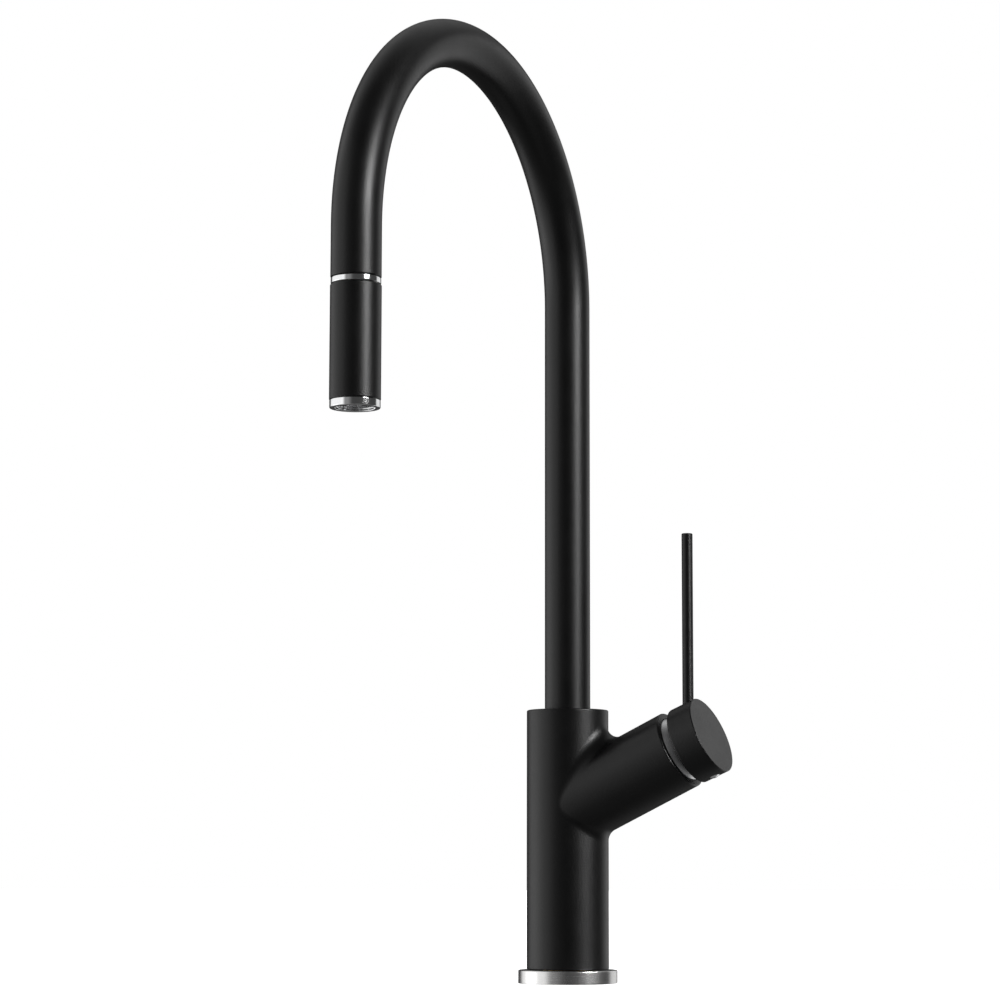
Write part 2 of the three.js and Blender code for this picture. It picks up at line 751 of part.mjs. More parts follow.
function addHose() {
  const riserBottom = shankEnd - 6;
  const riser = rod(hoseRadius, hoseSplit - riserBottom, hoseSides);
  place("hose_riser", riser, "braid", tap, 0, 0, riserBottom);
  const fitting = turned(
    [
      [hoseRadius + gap, hoseFittingLength - 12],
      [hoseRadius + gap, hoseFittingLength],
      [hoseFittingRadius, hoseFittingLength],
      [hoseFittingRadius, 8],
      [hoseRadius - 0.4, 8],
      [hoseRadius - 0.4, 0],
      [2.4, 0],
      [2.4, hoseFittingLength - 12],
      [hoseRadius + gap, hoseFittingLength - 12],
    ].reverse(),
    small,
  );
  place("hose_fitting", fitting, "brass", tap, 0, 0, riserBottom + 12 - hoseFittingLength - gap);
  const overArch = new Gooseneck(hoseSplit + gap, archHeight - gap);
  const archSteps = Math.round((archHeight - hoseSplit + Math.PI * archRadius) / 18);
  place("hose_arch", carried(overArch, archSteps, hoseRadius, hoseSides), "braid", tap);
  const dropLength = archHeight - 2 * gap - hoseEnd;
  place("hose_drop", rod(hoseRadius, dropLength, hoseSides), "braid", tap, 0, -2 * archRadius, hoseEnd);
}

// Spray head ---------------------------------------------------------------------------------------------

const headAxis = new THREE.Group();
headAxis.position.y = -2 * archRadius;
tap.add(headAxis);

const coreBottom = headBottom + 10;
const nippleBottom = ferruleBottom - gap - nippleLength;
const washerBottom = nippleBottom - gap - sealHeight;
const filterHeight = 0.8;
const filterBottom = washerBottom - gap - filterHeight;
const valveBottom = filterBottom - gap - valveLength;

function headCore() {
  const shoulder = headTop - coreBottom;
  const chamber = neckRadius - 1;
  return turned([
    [headBore - gap, 0],
    [headBore - gap, shoulder],
    [neckRadius, shoulder],
    [neckRadius, shoulder + neckLength],
    [nippleRadius + gap, shoulder + neckLength],
    [nippleRadius + gap, filterBottom - gap - coreBottom],
    [valveRadius + gap, filterBottom - gap - coreBottom],
    [valveRadius + gap, valveBottom - gap - coreBottom],
    [4, valveBottom - gap - coreBottom],
    [4, 6],
    [chamber, 6],
    [chamber, 0],
    [headBore - gap, 0],
  ]);
}

// Six through holes on a circle, as tools for a plate that stands on z = 0.
function holeCircle(holeRadius, circleRadius, height) {
  return Array.from({ length: 6 }, (_, i) => {
    const angle = (2 * Math.PI * i) / 6;
    const hole = rod(holeRadius, height + 2 * overshoot, 8);
    return hole.translate(circleRadius * Math.cos(angle), circleRadius * Math.sin(angle), -overshoot);
  });
}

function inletFilter() {
  return cut(rod(nippleRadius, filterHeight, small), ...holeCircle(1.1, nippleRadius / 2, filterHeight));
}

const valveSeat = valveBore - 1.7;
const valveLip = 2;
const springLedge = 1;
const springWire = 0.35;

function checkValveBody() {
  return turned(
    [
      [valveRadius, 0],
      [valveRadius, valveLength],
      [valveSeat, valveLength],
      [valveSeat, valveLength - valveLip],
      [valveBore, valveLength - valveLip],
      [valveBore, springLedge],
      [valveSeat, springLedge],
      [valveSeat, 0],
      [valveRadius, 0],
    ],
    small,
  );
}

const poppetTop = valveLength - valveLip - gap;
const poppetThickness = 1.4;

function checkValvePoppet() {
  const disc = valveBore - 2 * gap;
  const underside = poppetTop - poppetThickness;
  const guide = 1;
  return turned(
    [[0, 2], [guide, 2], [guide, underside], [disc, underside], [disc, poppetTop], [0, poppetTop]],
    small,
  );
}

function checkValveSpring() {
  const height = poppetTop - poppetThickness - springLedge - 2 * gap - 2 * springWire;
  const coil = new Coil(valveBore - gap - 2 * springWire, height, 4);
  return carried(coil, 36, springWire, 5);
}

function aeratorRing() {
  const height = aeratorHeight + aeratorSpigot;
  const lip = aeratorRecess - gap;
  const edge = 0.5;
  return turned(
    [
      [aeratorMouth, 0],
      [aeratorRadius - edge, 0],
      [aeratorRadius, edge],
      [aeratorRadius, aeratorHeight],
      [headBore - gap, aeratorHeight],
      [headBore - gap, height],
      [aeratorMouth, height],
      [aeratorMouth, lip],
      [aeratorMouth - 0.8, lip],
      [aeratorMouth - 0.8, lip - 1],
      [aeratorMouth, lip - 1],
      [aeratorMouth, 0],
    ],
    fine,
  );
}

// A cup with its rim down, the rim cut into lugs that let a coin turn it.
function aeratorInsert() {
  const radius = aeratorMouth - gap;
  const cup = turned([
    [radius, 0],
    [radius, insertHeight],
    [0, insertHeight],
    [0, insertRim + 1],
    [radius - insertRimWidth, insertRim + 1],
    [radius - insertRimWidth, 0],
    [radius, 0],
  ]);
  const slots = Array.from({ length: lugCount }, (_, i) => {
    const slot = box(radius, lugSlot, 2 * insertRim).translate(radius, 0, 0);
    return slot.rotateZ((2 * Math.PI * i) / lugCount + lugTurn);
  });
  const flow = rod(1.6, insertHeight + 2 * overshoot, 10).translate(0, 0, -overshoot);
  return cut(cup, ...slots, flow);
}

function aeratorScreen() {
  const radius = aeratorMouth - insertRimWidth - 2 * gap;
  return cut(rod(radius, screenHeight), ...holeCircle(1, radius - 3, screenHeight));
}

function addHeadAndHoseEnd() {
  const ferrule = sleeve(hoseRadius + gap, ferruleRadius, ferruleLength, small);
  place("hose_ferrule", ferrule, "steel", headAxis, 0, 0, ferruleBottom);
  place("hose_nipple", sleeve(3, nippleRadius, nippleLength), "brass", headAxis, 0, 0, nippleBottom);
  place("hose_washer", sleeve(3.2, nippleRadius, sealHeight), "rubber", headAxis, 0, 0, washerBottom);
  const shell = sleeve(headBore, headRadius, headLength, fine);
  place("spray_shell", shell, "black", headAxis, 0, 0, headBottom);
  place("head_core", headCore(), "plastic", headAxis, 0, 0, coreBottom);
  const dockRing = sleeve(neckRadius + gap, dockRingRadius, dockRingHeight, fine);
  place("dock_ring", dockRing, "chrome", headAxis, 0, 0, dockRingBottom);
  place("inlet_filter", inletFilter(), "steel", headAxis, 0, 0, filterBottom);
  place("check_valve_body", checkValveBody(), "plastic", headAxis, 0, 0, valveBottom);
  place("check_valve_poppet", checkValvePoppet(), "blackPlastic", headAxis, 0, 0, valveBottom);
  const springZ = valveBottom + springLedge + gap + springWire;
  place("check_valve_spring", checkValveSpring(), "steel", headAxis, 0, 0, springZ);
  place("aerator_ring", aeratorRing(), "chrome", headAxis, 0, 0, aeratorBottom);
  const insertBottom = aeratorBottom + aeratorRecess;
  place("aerator_insert", aeratorInsert(), "chrome", headAxis, 0, 0, insertBottom);
  place("aerator_screen", aeratorScreen(), "steel", headAxis, 0, 0, insertBottom + insertRim - gap);
  const seal = sleeve(neckRadius - 1.2, aeratorMouth - gap, sealHeight);
  place("aerator_seal", seal, "rubber", headAxis, 0, 0, insertBottom + insertHeight + gap);
}

addBodyAndClamp();
addTails();
addCartridge();
addHandle();
addSpout();
addHose();
addHeadAndHoseEnd();

export default tap;
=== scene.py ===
"""Looks of a pull-down kitchen mixer tap, built round its solid model.

Sizes are in millimetres and become metres when a mesh is made. The body stands on the Z axis with the worktop
at z = 0, the spout reaches towards -Y and the handle branch towards +X.
"""

import json
import math

import bmesh
import bpy
import numpy as np
from mathutils import Matrix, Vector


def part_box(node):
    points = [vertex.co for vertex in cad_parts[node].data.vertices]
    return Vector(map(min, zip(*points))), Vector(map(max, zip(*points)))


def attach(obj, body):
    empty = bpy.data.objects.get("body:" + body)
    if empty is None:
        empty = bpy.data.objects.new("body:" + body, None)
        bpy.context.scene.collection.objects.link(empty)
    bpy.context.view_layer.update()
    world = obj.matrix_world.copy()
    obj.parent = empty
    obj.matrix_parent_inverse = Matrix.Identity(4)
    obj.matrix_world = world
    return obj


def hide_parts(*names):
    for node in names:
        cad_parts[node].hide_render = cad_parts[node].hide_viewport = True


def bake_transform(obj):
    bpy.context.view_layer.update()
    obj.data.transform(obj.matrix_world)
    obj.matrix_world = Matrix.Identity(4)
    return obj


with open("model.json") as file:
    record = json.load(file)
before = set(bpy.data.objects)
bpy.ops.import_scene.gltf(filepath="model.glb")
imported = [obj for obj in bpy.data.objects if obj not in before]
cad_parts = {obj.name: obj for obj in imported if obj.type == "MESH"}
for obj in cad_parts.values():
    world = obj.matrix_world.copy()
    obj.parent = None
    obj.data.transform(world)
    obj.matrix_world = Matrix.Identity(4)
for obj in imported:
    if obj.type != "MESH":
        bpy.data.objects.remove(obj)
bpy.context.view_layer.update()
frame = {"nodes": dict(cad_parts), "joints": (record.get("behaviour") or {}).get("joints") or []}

MM = 0.001
TURN = 2 * math.pi
SHARP = math.radians(38)  # a fold steeper than this shows as an edge


# Sizes, most of them taken from the solid model -------------------------------------------------------------

def corners(node):
    low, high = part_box(node)
    return np.array(low) / MM, np.array(high) / MM


def levels(node):
    low, high = corners(node)
    return low[2], high[2]


def radius_of(node):
    low, high = corners(node)
    return (high[0] - low[0]) / 2


def joint(name):
    return next(entry for entry in frame["joints"] if entry["name"] == name)


GAP = 0.3  # between pieces that touch, turn or slide

TUBE_RADIUS = radius_of("spout_tube")
TUBE_WALL = 1.3
TUBE_FOOT = levels("spout_tube")[0]
ARCH_TOP = levels("spout_tube")[1]
HEAD_Y = (corners("spray_shell")[0][1] + corners("spray_shell")[1][1]) / 2
ARCH_RADIUS = -HEAD_Y / 2
ARCH_HEIGHT = ARCH_TOP - ARCH_RADIUS - TUBE_RADIUS
MOUTH = levels("dock_ring")[1] + GAP

BODY_RADIUS = 22.4
BODY_FOOT = levels("body_casting")[0]
BODY_TOP = levels("upper_swivel_bush")[1]
SOCKET_RADIUS = radius_of("upper_swivel_bush") + GAP
SOCKET_FLOOR = levels("thrust_washer")[0] - GAP
SHANK_RADIUS = radius_of("shank")
SHANK_CEILING = levels("shank")[1] + GAP
HOSE_WAY = 5.9  # radius of the way through the body for the hose

BRANCH_DIRECTION = np.array(joint("handle_turn")["axis"])
PIVOT = np.array(joint("handle_turn")["pos_m"]) / MM
BRANCH_TILT = math.atan2(BRANCH_DIRECTION[2], BRANCH_DIRECTION[0])
BRANCH_HEIGHT = PIVOT[2] - PIVOT[0] * math.tan(BRANCH_TILT)
PIVOT_PLACE = PIVOT[0] / math.cos(BRANCH_TILT)
PIVOT_DEPTH = 8.2  # of the handle's pivot below the branch's end
BRANCH_LENGTH = PIVOT_PLACE + PIVOT_DEPTH
BRANCH_RADIUS = 21.7
BRANCH_BORE = 18.4  # radius
BRANCH_SEAT = 24.6  # floor of the bore, along the branch
BRANCH_BLEND = 8.0  # radius of the fillet between branch and body

KNOB_TILT = BRANCH_TILT - math.radians(2.1)
KNOB_RADIUS = 21.35
KNOB_BACK, KNOB_FACE = 12.8, 27.9  # from the pivot, along the knob's axis
LEVER_RADIUS = 3.0
LEVER_FOOT = KNOB_FACE - 5.6
LEVER_REACH = 91.8
LEVER_DEPTH = 6.5
CAP_RADIUS = BRANCH_BORE - GAP
DOME_RADIUS = math.hypot(CAP_RADIUS, PIVOT_DEPTH)  # of the trim cap's ball, about the handle's pivot
DOME_CLEARANCE = 0.7  # between the ball and the knob's hollow back
PLUG_RADIUS = 3.0
PLUG_PLACE = KNOB_FACE - 7.2
PLUG_HEIGHT = 2.0


# Shapes ---------------------------------------------------------------------------------------------------

def unit(vector):
    vector = np.array(vector, float)
    return vector / np.linalg.norm(vector)


class Axis:
    """A line that shapes are turned about: a point on it, its direction, and where its angles start."""

    def __init__(self, origin=(0, 0, 0), along=(0, 0, 1), start=(1, 0, 0)):
        self.origin = np.array(origin, float)
        self.along = unit(along)
        self.start = unit(start)
        self.side = np.cross(self.along, self.start)

    def place(self, points):
        """Points given along start, side and the axis, in the object's own frame."""
        return self.origin + points @ np.array([self.start, self.side, self.along])

    def point(self, radius, angle, height):
        """radius x (cos angle, sin angle) from the axis, at the height."""
        radius, angle, height = np.broadcast_arrays(radius, angle, height)
        return self.place(np.stack([radius * np.cos(angle), radius * np.sin(angle), height], -1))


BODY = Axis()
HEAD = Axis((0, HEAD_Y, 0))
BRANCH = Axis(
    (0, 0, BRANCH_HEIGHT), BRANCH_DIRECTION, (-math.sin(BRANCH_TILT), 0, math.cos(BRANCH_TILT))
)
HANDLE = Axis(
    PIVOT,
    (math.cos(KNOB_TILT), 0, math.sin(KNOB_TILT)),
    (math.sin(KNOB_TILT), 0, -math.cos(KNOB_TILT)),
)


def rounded(*points, closed=False, steps=6):
    """The outline through (radius, height) or (radius, height, rounding) points. A rounding becomes an arc
    tangent to both sides: its centre lies on the bisector, rounding / sin(half angle) from the corner. A
    guard point just outside each end keeps the flats flat. The third number of a row is 1 at mid-arc."""
    places = np.array([point[:2] for point in points], float)
    rows = []
    for i, point in enumerate(points):
        end = not closed and i in (0, len(points) - 1)
        if len(point) < 3 or end:
            rows.append([[*point[:2], 0]])
            continue
        here, bend = places[i], point[2]
        before, after = unit(places[i - 1] - here), unit(places[(i + 1) % len(points)] - here)
        half = math.acos(np.clip(before @ after, -1, 1)) / 2
        reach = bend / math.tan(half)
        centre = here + unit(before + after) * bend / math.sin(half)
        swing = math.pi - 2 * half
        t = np.linspace(0, 1, steps + 1)[:, None]
        first, last = here + before * reach - centre, here + after * reach - centre
        arc = centre + (np.sin((1 - t) * swing) * first + np.sin(t * swing) * last) / math.sin(swing)
        guard = 0.35 * bend
        rows.append([[*(here + before * (reach + guard)), 0]])
        rows.append(np.hstack([arc, np.sin(math.pi * t)]))
        rows.append([[*(here + after * (reach + guard)), 0]])
    if closed:
        rows.append(rows[0][:1])
    return np.vstack(rows)


def sleeve(inner, outer, low, high, bend):
    """The closed outline of a round tube, with all four corners rounded."""
    corner_points = (outer, low, bend), (outer, high, bend), (inner, high, bend), (inner, low, bend)
    return rounded(*corner_points, closed=True)


def with_edge(points, edge=0.0):
    """Adds the worn-edge value as a fourth number to every point of a grid."""
    return np.concatenate([points, np.broadcast_to(edge, points.shape[:-1])[..., None]], -1)


def turned(axis, outline, sides=96, first=0.0, last=TURN):
    """An outline turned about an axis, from one angle to another."""
    angle = np.linspace(first, last, sides + 1)
    points = axis.point(outline[:, 0, None], angle, outline[:, 1, None])
    return with_edge(points, outline[:, 2, None])


def over_the_arch(foot, distance, radius, angle):
    """Points round the gooseneck's centre line: up from the foot, half a turn about the arch's centre, and
    down. At turn b the line is at y = -R (1 - cos b), z = R sin b above the arch's centre, and the section
    lies across X and (0, cos b, sin b)."""
    rise = ARCH_HEIGHT - foot
    bend = np.clip((distance - rise) / ARCH_RADIUS, 0, math.pi)
    fall = np.clip(distance - rise - math.pi * ARCH_RADIUS, 0, None)
    across = radius * np.cos(angle)
    y = -ARCH_RADIUS * (1 - np.cos(bend)) + across * np.cos(bend)
    z = foot + np.minimum(distance, rise) + (ARCH_RADIUS + across) * np.sin(bend) - fall
    x = radius * np.sin(angle)
    return np.stack(np.broadcast_arrays(x, y, z), -1)


class Opening:
    """Where a round arm or hole about one axis meets a round wall about Z, with a ball of the blend radius
    rolled along the corner between them."""

    def __init__(self, wall, axis, radius, blend=0.0, facing=0.0):
        self.wall, self.axis, self.radius = wall, axis, radius
        self.blend, self.facing = blend, facing

    def ball(self, angle):
        """The ball's centre at an angle about the arm: on the line at radius + blend from the arm's axis,
        where that line reaches wall + blend from Z, which is a quadratic for the distance along it."""
        start = self.axis.point(self.radius + self.blend, angle, 0.0)
        along = self.axis.along
        a = along[0] ** 2 + along[1] ** 2
        b = start[..., 0] * along[0] + start[..., 1] * along[1]
        c = start[..., 0] ** 2 + start[..., 1] ** 2 - (self.wall + self.blend) ** 2
        distance = (-b + np.sqrt(b * b - a * c)) / a
        return start + distance[..., None] * along, distance

    def on_wall(self, angle):
        """Where the ball touches the wall, unrolled: distance round the wall from its facing, and height."""
        centre, _ = self.ball(angle)
        turn = np.arctan2(centre[..., 1], centre[..., 0]) - self.facing
        turn = (turn + math.pi) % TURN - math.pi
        return np.stack([self.wall * turn, centre[..., 2]], -1)

    def roll(self, unrolled):
        """Unrolled places back on the wall."""
        turn = unrolled[..., 0] / self.wall + self.facing
        return np.stack([self.wall * np.cos(turn), self.wall * np.sin(turn), unrolled[..., 1]], -1)

    def fillet(self, angle, steps):
        """Rows from the wall to the arm over the ball: its centre plus the blend radius times a direction
        that swings evenly from the wall's touching point to the arm's."""
        centre, distance = self.ball(angle)
        first = (self.roll(self.on_wall(angle)) - centre) / self.blend
        last = (self.axis.point(self.radius, angle, distance) - centre) / self.blend
        swing = np.arccos(np.clip((first * last).sum(-1), -1, 1))[..., None]
        t = np.linspace(0, 1, steps + 1)[:, None, None]
        arc = (np.sin((1 - t) * swing) * first + np.sin(t * swing) * last) / np.sin(swing)
        return centre + self.blend * arc


def pierced_wall(opening, half_angle, low, high, across, upright, rows):
    """The wall between two heights and half_angle each side of its facing, round the opening. In the
    unrolled wall, rays run from the opening's middle through its edge to the border. Returns the grid from
    the border inwards and the angle about the opening's axis of each ray."""
    width = half_angle * opening.wall
    side = np.linspace(-width, width, across + 1)[:-1]
    climb = np.linspace(low, high, upright + 1)[:-1]
    border = np.vstack([
        np.stack([side, np.full(across, low)], -1),
        np.stack([np.full(upright, width), climb], -1),
        np.stack([-side, np.full(across, high)], -1),
        np.stack([np.full(upright, -width), low + high - climb], -1),
        [[-width, low]],
    ])
    angle = np.linspace(0, TURN, 4001)
    edge = opening.on_wall(angle)
    middle = np.array([0, (edge[:, 1].min() + edge[:, 1].max()) / 2])
    bearing = np.unwrap(np.arctan2(edge[:, 1] - middle[1], edge[:, 0] - middle[0]))
    if bearing[-1] < bearing[0]:
        bearing, angle = bearing[::-1], angle[::-1]
    ray = np.arctan2(border[:, 1] - middle[1], border[:, 0] - middle[0])
    ray = bearing[0] + (ray - bearing[0]) % TURN
    angle = np.interp(ray, bearing, angle)
    angle[-1] = angle[0]
    inner = opening.on_wall(angle)
    t = np.linspace(1, 0, rows + 1)[:, None, None] ** 1.3
    return opening.roll(inner + t * (border - inner)), angle


# Meshes ---------------------------------------------------------------------------------------------------

finishes = {}


def make(name, patches, slot, body, *nodes, material=None, attributes=()):
    """Joins grids of points into one mesh. Four neighbours of a grid make a face, and points in the same
    place become one, which closes the seams and poles."""
    points = np.concatenate([patch.reshape(-1, patch.shape[-1]) for patch in patches])
    faces = []
    start = 0
    for patch in patches:
        rows, columns = patch.shape[:2]
        index = np.arange(rows * columns).reshape(rows, columns) + start
        ring = [index[:-1, :-1], index[:-1, 1:], index[1:, 1:], index[1:, :-1]]
        faces.append(np.stack(ring, -1).reshape(-1, 4))
        start += rows * columns
    mesh = bpy.data.meshes.new(name)
    mesh.from_pydata((points[:, :3] * MM).tolist(), [], np.concatenate(faces).tolist())
    for column, label in enumerate(("edge", *attributes), start=3):
        values = mesh.attributes.new(label, "FLOAT", "POINT")
        values.data.foreach_set("value", points[:, column].astype(np.float32))
    work = bmesh.new()
    work.from_mesh(mesh)
    bmesh.ops.remove_doubles(work, verts=work.verts, dist=1e-6)
    bmesh.ops.recalc_face_normals(work, faces=work.faces)
    work.to_mesh(mesh)
    work.free()
    mesh.shade_smooth()
    mesh.set_sharp_from_angle(angle=SHARP)
    piece = bpy.data.objects.new(name, mesh)
    bpy.context.scene.collection.objects.link(piece)
    mesh.materials.append(finishes[material or slot])
    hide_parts(*nodes)
    if body:
        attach(piece, body)
    return piece


# Finishes -------------------------------------------------------------------------------------------------

class Value:
    """A number that varies over a surface. Arithmetic on it adds Math nodes."""

    def __init__(self, shade, socket):
        self.shade, self.socket = shade, socket

    def math(self, operation, *terms):
        return self.shade.add("ShaderNodeMath", {"operation": operation}, dict(enumerate(terms)))

    def __add__(self, other):
        return self.math("ADD", self, other)

    def __sub__(self, other):
        return self.math("SUBTRACT", self, other)

    def __rsub__(self, other):
        return self.math("SUBTRACT", other, self)

    def __mul__(self, other):
        return self.math("MULTIPLY", self, other)

    def __truediv__(self, other):
        return self.math("DIVIDE", self, other)

    def __pow__(self, other):
        return self.math("POWER", self, other)

    def __mod__(self, other):
        return self.math("FLOORED_MODULO", self, other)

    __radd__ = __add__
    __rmul__ = __mul__

    def floor(self):
        return self.math("FLOOR", self)

    def sine(self):
        return self.math("SINE", self)

    def size(self):
        return self.math("ABSOLUTE", self)

    def between(self, low, high):
        """0 below low, 1 above high, and smooth in between."""
        settings = {"interpolation_type": "SMOOTHSTEP"}
        return self.shade.add("ShaderNodeMapRange", settings, {"Value": self, 1: low, 2: high})


class Shade:
    """The nodes of one material or of the world."""

    def __init__(self, owner):
        owner.use_nodes = True
        self.tree = owner.node_tree
        self.tree.nodes.clear()

    def add(self, kind, settings=None, sockets=None, out=0):
        """A node of a type: its settings first, then the value or link of each named socket."""
        node = self.tree.nodes.new(kind)
        for key, value in (settings or {}).items():
            setattr(node, key, value)
        for key, value in (sockets or {}).items():
            if isinstance(value, Value):
                self.tree.links.new(value.socket, node.inputs[key])
            else:
                node.inputs[key].default_value = value
        return Value(self, node.outputs[out]) if node.outputs else None

    def coordinates(self, shift=(0, 0, 0)):
        """Object coordinates in millimetres, from a shifted centre."""
        place = self.add("ShaderNodeTexCoord", out="Object")
        sockets = {"Vector": place, "Location": tuple(-s for s in shift), "Scale": (1 / MM,) * 3}
        return self.add("ShaderNodeMapping", None, sockets)

    def parts(self, vector):
        return [self.add("ShaderNodeSeparateXYZ", None, {0: vector}, out=i) for i in range(3)]

    def noise(self, place, size, detail=2.0, roughness=0.5):
        """Cloudy noise from 0 to 1 whose features are about size across."""
        sockets = {"Vector": place, "Scale": 1 / size, "Detail": detail, "Roughness": roughness}
        return self.add("ShaderNodeTexNoise", None, sockets)

    def mix(self, mask, first, second):
        sockets = {0: mask, 6: (*first, 1) if isinstance(first, tuple) else first}
        sockets[7] = (*second, 1) if isinstance(second, tuple) else second
        return self.add("ShaderNodeMix", {"data_type": "RGBA"}, sockets, out=2)

    def worn(self):
        """The piece's own worn-edge value: 1 on the crown of a rounded edge and 0 on its faces."""
        return self.add("ShaderNodeAttribute", {"attribute_name": "edge"}, out="Fac")

    def bump(self, height, distance, strength=1.0):
        """A Normal from a height of 0 to 1 that stands for a distance in millimetres."""
        sockets = {"Height": height, "Distance": distance * MM, "Strength": strength}
        return self.add("ShaderNodeBump", None, sockets)

    def surface(self, sockets):
        shader = self.add("ShaderNodeBsdfPrincipled", None, sockets)
        self.add("ShaderNodeOutputMaterial", None, {"Surface": shader})


def finish(name):
    """Starts a material and returns its nodes. The function under it fills them in."""
    def fill(recipe):
        material = bpy.data.materials.new(name)
        recipe(Shade(material))
        finishes[name] = material
        return recipe
    return fill


def clear(value, amount):
    """A 0 to 1 value spread evenly about nothing, scaled to an amount."""
    return (value - 0.5) * (2 * amount)


@finish("black_coat")
def black_coat(shade):
    """Fine matt powder coat: a satin black skin with a fine orange-peel grain, a little thinner and
    smoother where it is drawn back from the edges."""
    place = shade.coordinates()
    grain = shade.noise(place, 0.8, 2.0, 0.6)
    cloud = shade.noise(place, 14.0, 3.0)
    worn = shade.worn() * shade.noise(place, 3.0, 3.0)
    colour = shade.mix(worn * 0.5 + cloud * 0.3, (0.001, 0.001, 0.0011), (0.005, 0.005, 0.0052))
    shade.surface({
        "Base Color": colour,
        "Roughness": 0.37 + clear(cloud, 0.05) + clear(grain, 0.08) - worn * 0.12,
        "Normal": shade.bump(grain, 0.08, 0.9),
        "IOR": 1.41,
    })


def polished(name, colour, roughness):
    @finish(name)
    def recipe(shade):
        place = shade.coordinates()
        smear = shade.noise(place, 5.0, 4.0, 0.6)
        hairline = shade.noise(place, 0.35, 1.0)
        dark = tuple(c * 0.9 for c in colour)
        shade.surface({
            "Base Color": shade.mix(smear.between(0.3, 0.8), colour, dark),
            "Roughness": roughness + clear(smear, 0.02) + shade.worn() * 0.03,
            "Metallic": 1.0,
            "Normal": shade.bump(hairline, 0.0006, 0.5),
        })


polished("chrome", (0.87, 0.875, 0.88), 0.09)
polished("satin_chrome", (0.9, 0.905, 0.91), 0.4)


def lathe_marks(shade, place, pitch):
    """Fine lines round Z, as turning leaves them: noise over the distance from the axis and the height."""
    x, y, z = shade.parts(place)
    reach = (x * x + y * y) ** 0.5
    drift = (x + y) * 0.02
    line = shade.add("ShaderNodeCombineXYZ", None, {0: reach / pitch, 1: z / pitch, 2: drift})
    return shade.noise(line, 1.0, 3.0, 0.65)


def machined(name, colour, roughness, pitch, depth, stain=0.28):
    @finish(name)
    def recipe(shade):
        place = shade.coordinates()
        marks = lathe_marks(shade, place, pitch)
        patina = shade.noise(place, 9.0, 4.0, 0.6)
        dull = tuple(c * (1 - stain) for c in colour)
        bright = tuple(min(1.0, c * 1.12) for c in colour)
        tone = shade.mix(patina.between(0.35, 0.75), colour, dull)
        shade.surface({
            "Base Color": shade.mix(shade.worn() * 0.7, tone, bright),
            "Roughness": roughness + clear(marks, 0.08) + clear(patina, 0.05),
            "Metallic": 1.0,
            "Normal": shade.bump(marks, depth, 0.5),
        })


machined("brushed_metal", (0.72, 0.715, 0.71), 0.24, 0.12, 0.0008, stain=0.02)
machined("brass", (0.58, 0.42, 0.2), 0.3, 0.25, 0.01)
machined("copper", (0.62, 0.29, 0.17), 0.3, 0.6, 0.006)
machined("steel", (0.48, 0.48, 0.49), 0.3, 0.2, 0.006)


def moulded(name, colour, roughness, grain_size, depth):
    @finish(name)
    def recipe(shade):
        place = shade.coordinates()
        grain = shade.noise(place, grain_size, 2.0)
        flow = shade.noise(place, 8.0, 3.0)
        light = tuple(min(1.0, c * 1.15 + 0.004) for c in colour)
        tone = shade.mix(flow.between(0.3, 0.7) * 0.6 + shade.worn() * 0.4, colour, light)
        shade.surface({
            "Base Color": tone,
            "Roughness": roughness + clear(grain, 0.06) + clear(flow, 0.04),
            "Normal": shade.bump(grain, depth, 0.6),
        })


moulded("rubber", (0.018, 0.018, 0.018), 0.7, 0.5, 0.03)
moulded("pale_plastic", (0.72, 0.70, 0.65), 0.42, 0.4, 0.01)
moulded("dark_plastic", (0.022, 0.022, 0.024), 0.42, 0.4, 0.012)
moulded("ceramic", (0.83, 0.82, 0.78), 0.12, 0.2, 0.002)


def braided(shade, around, along):
    """Nylon braid of two crossed sets of strands, each passing over and under the other. Its colour carries
    painted shade: dark in the grooves between strands and lighter on their crowns.
    """
    strands, lay = 12, 2.6
    u = around * strands + along / lay
    v = around * strands - along / lay
    crown_u = (u * math.pi).sine().size()
    crown_v = (v * math.pi).sine().size()
    over = (u.floor() + v.floor()) % 2
    height = crown_u * over + crown_v * (1 - over)
    fibre = ((u + v * 0.35) * 40).sine()
    # painted shade: the colour follows the strands' height, dark in the grooves between them and lighter on
    # their crowns
    tone = shade.mix(height, (0.012, 0.012, 0.013), (0.075, 0.076, 0.08))
    shade.surface({
        "Base Color": tone,
        "Roughness": 0.62 - height * 0.15 + fibre * 0.04,
        "Normal": shade.bump(height + fibre * 0.04, 0.35, 0.9),
    })


@finish("hose_braid")
def hose_braid(shade):
    """The braid where it follows the hose's own turns and length."""
    around = shade.add("ShaderNodeAttribute", {"attribute_name": "around"}, out="Fac")
    along = shade.add("ShaderNodeAttribute", {"attribute_name": "along"}, out="Fac")
    braided(shade, around, along)


@finish("hose_braid_drop")
def hose_braid_drop(shade):
    """The braid on the straight stretch that is drawn out with the head, laid about the head's axis."""
    x, y, z = shade.parts(shade.coordinates((0, HEAD_Y, 0)))
    around = shade.add("ShaderNodeMath", {"operation": "ARCTAN2"}, {0: y, 1: x}) / TURN
    braided(shade, around, z)


# Body and base --------------------------------------------------------------------------------------------

